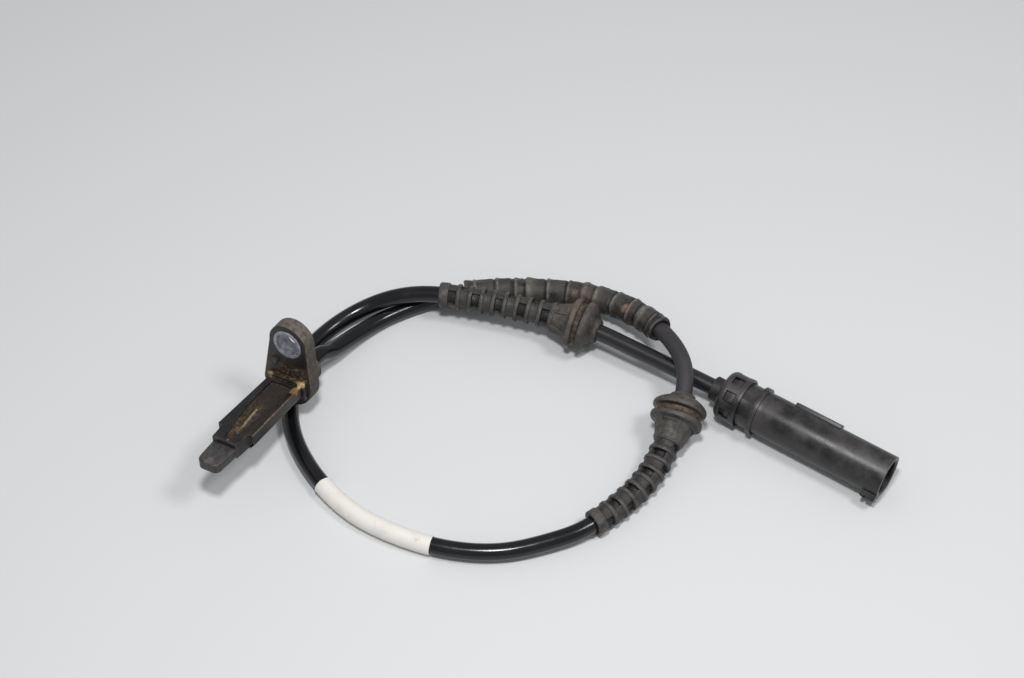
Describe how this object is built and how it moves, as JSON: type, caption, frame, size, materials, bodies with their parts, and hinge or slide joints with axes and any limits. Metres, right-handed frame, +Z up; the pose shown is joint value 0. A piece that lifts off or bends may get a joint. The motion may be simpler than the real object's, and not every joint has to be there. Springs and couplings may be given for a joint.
{
  "type": "abs wheel speed sensor",
  "caption": "Wheel speed sensor head with a bolt flange and flat probe, on a looped cable with bend-relief grommets, a corrugated sleeve and a round plug.",
  "frame": {"origin": "on the flange face that seats on the wheel carrier, 9 mm below the centre of the bolt bush", "axes": "+Y runs level and back along the probe from its nose to the cable, +Z is up as the part lies, +X runs towards the plug"},
  "size_m": [0.1725, 0.1209, 0.0345],
  "materials": {
    "moulding": "satin glass-filled plastic, dusty",
    "bush_steel": "dull zinc-plated steel",
    "jacket": "smooth black jacket with a sheen",
    "dusty_rubber": "matt rubber with road dust",
    "seal_rubber": "matt",
    "label_paper": "bare cream-white wrap, slightly soiled",
    "plug_plastic": "satin dark grey",
    "carrier_plastic": "plain",
    "chip_epoxy": "plain",
    "magnet": "sintered grey",
    "ceramic": "plain",
    "tinned_copper": "tinned",
    "contact_brass": "bright",
    "core_brown": "core insulation",
    "core_blue": "core insulation"
  },
  "bodies": {
    "root": {"sensor_housing": "moulding", "mounting_bush": "bush_steel", "neck_seal": "seal_rubber", "chip_carrier": "carrier_plastic", "sensor_chip": "chip_epoxy", "bias_magnet": "magnet", "capacitor": "ceramic", "lead_left": "tinned_copper", "lead_right": "tinned_copper", "wire_crimp_left": "tinned_copper", "wire_crimp_right": "tinned_copper", "head_core_left": "core_brown", "head_core_right": "core_blue", "plug_body": "plug_plastic", "plug_cap": "plug_plastic", "plug_seal": "seal_rubber", "contact_carrier": "plug_plastic", "terminal_lock": "carrier_plastic", "terminal_left": "contact_brass", "terminal_right": "contact_brass", "plug_core_left": "core_brown", "plug_core_right": "core_blue", "cable": "jacket", "label_band": "label_paper", "corrugated_sleeve": "dusty_rubber", "grommet_lower": "dusty_rubber", "grommet_upper": "dusty_rubber"}
  },
  "joints": []
}
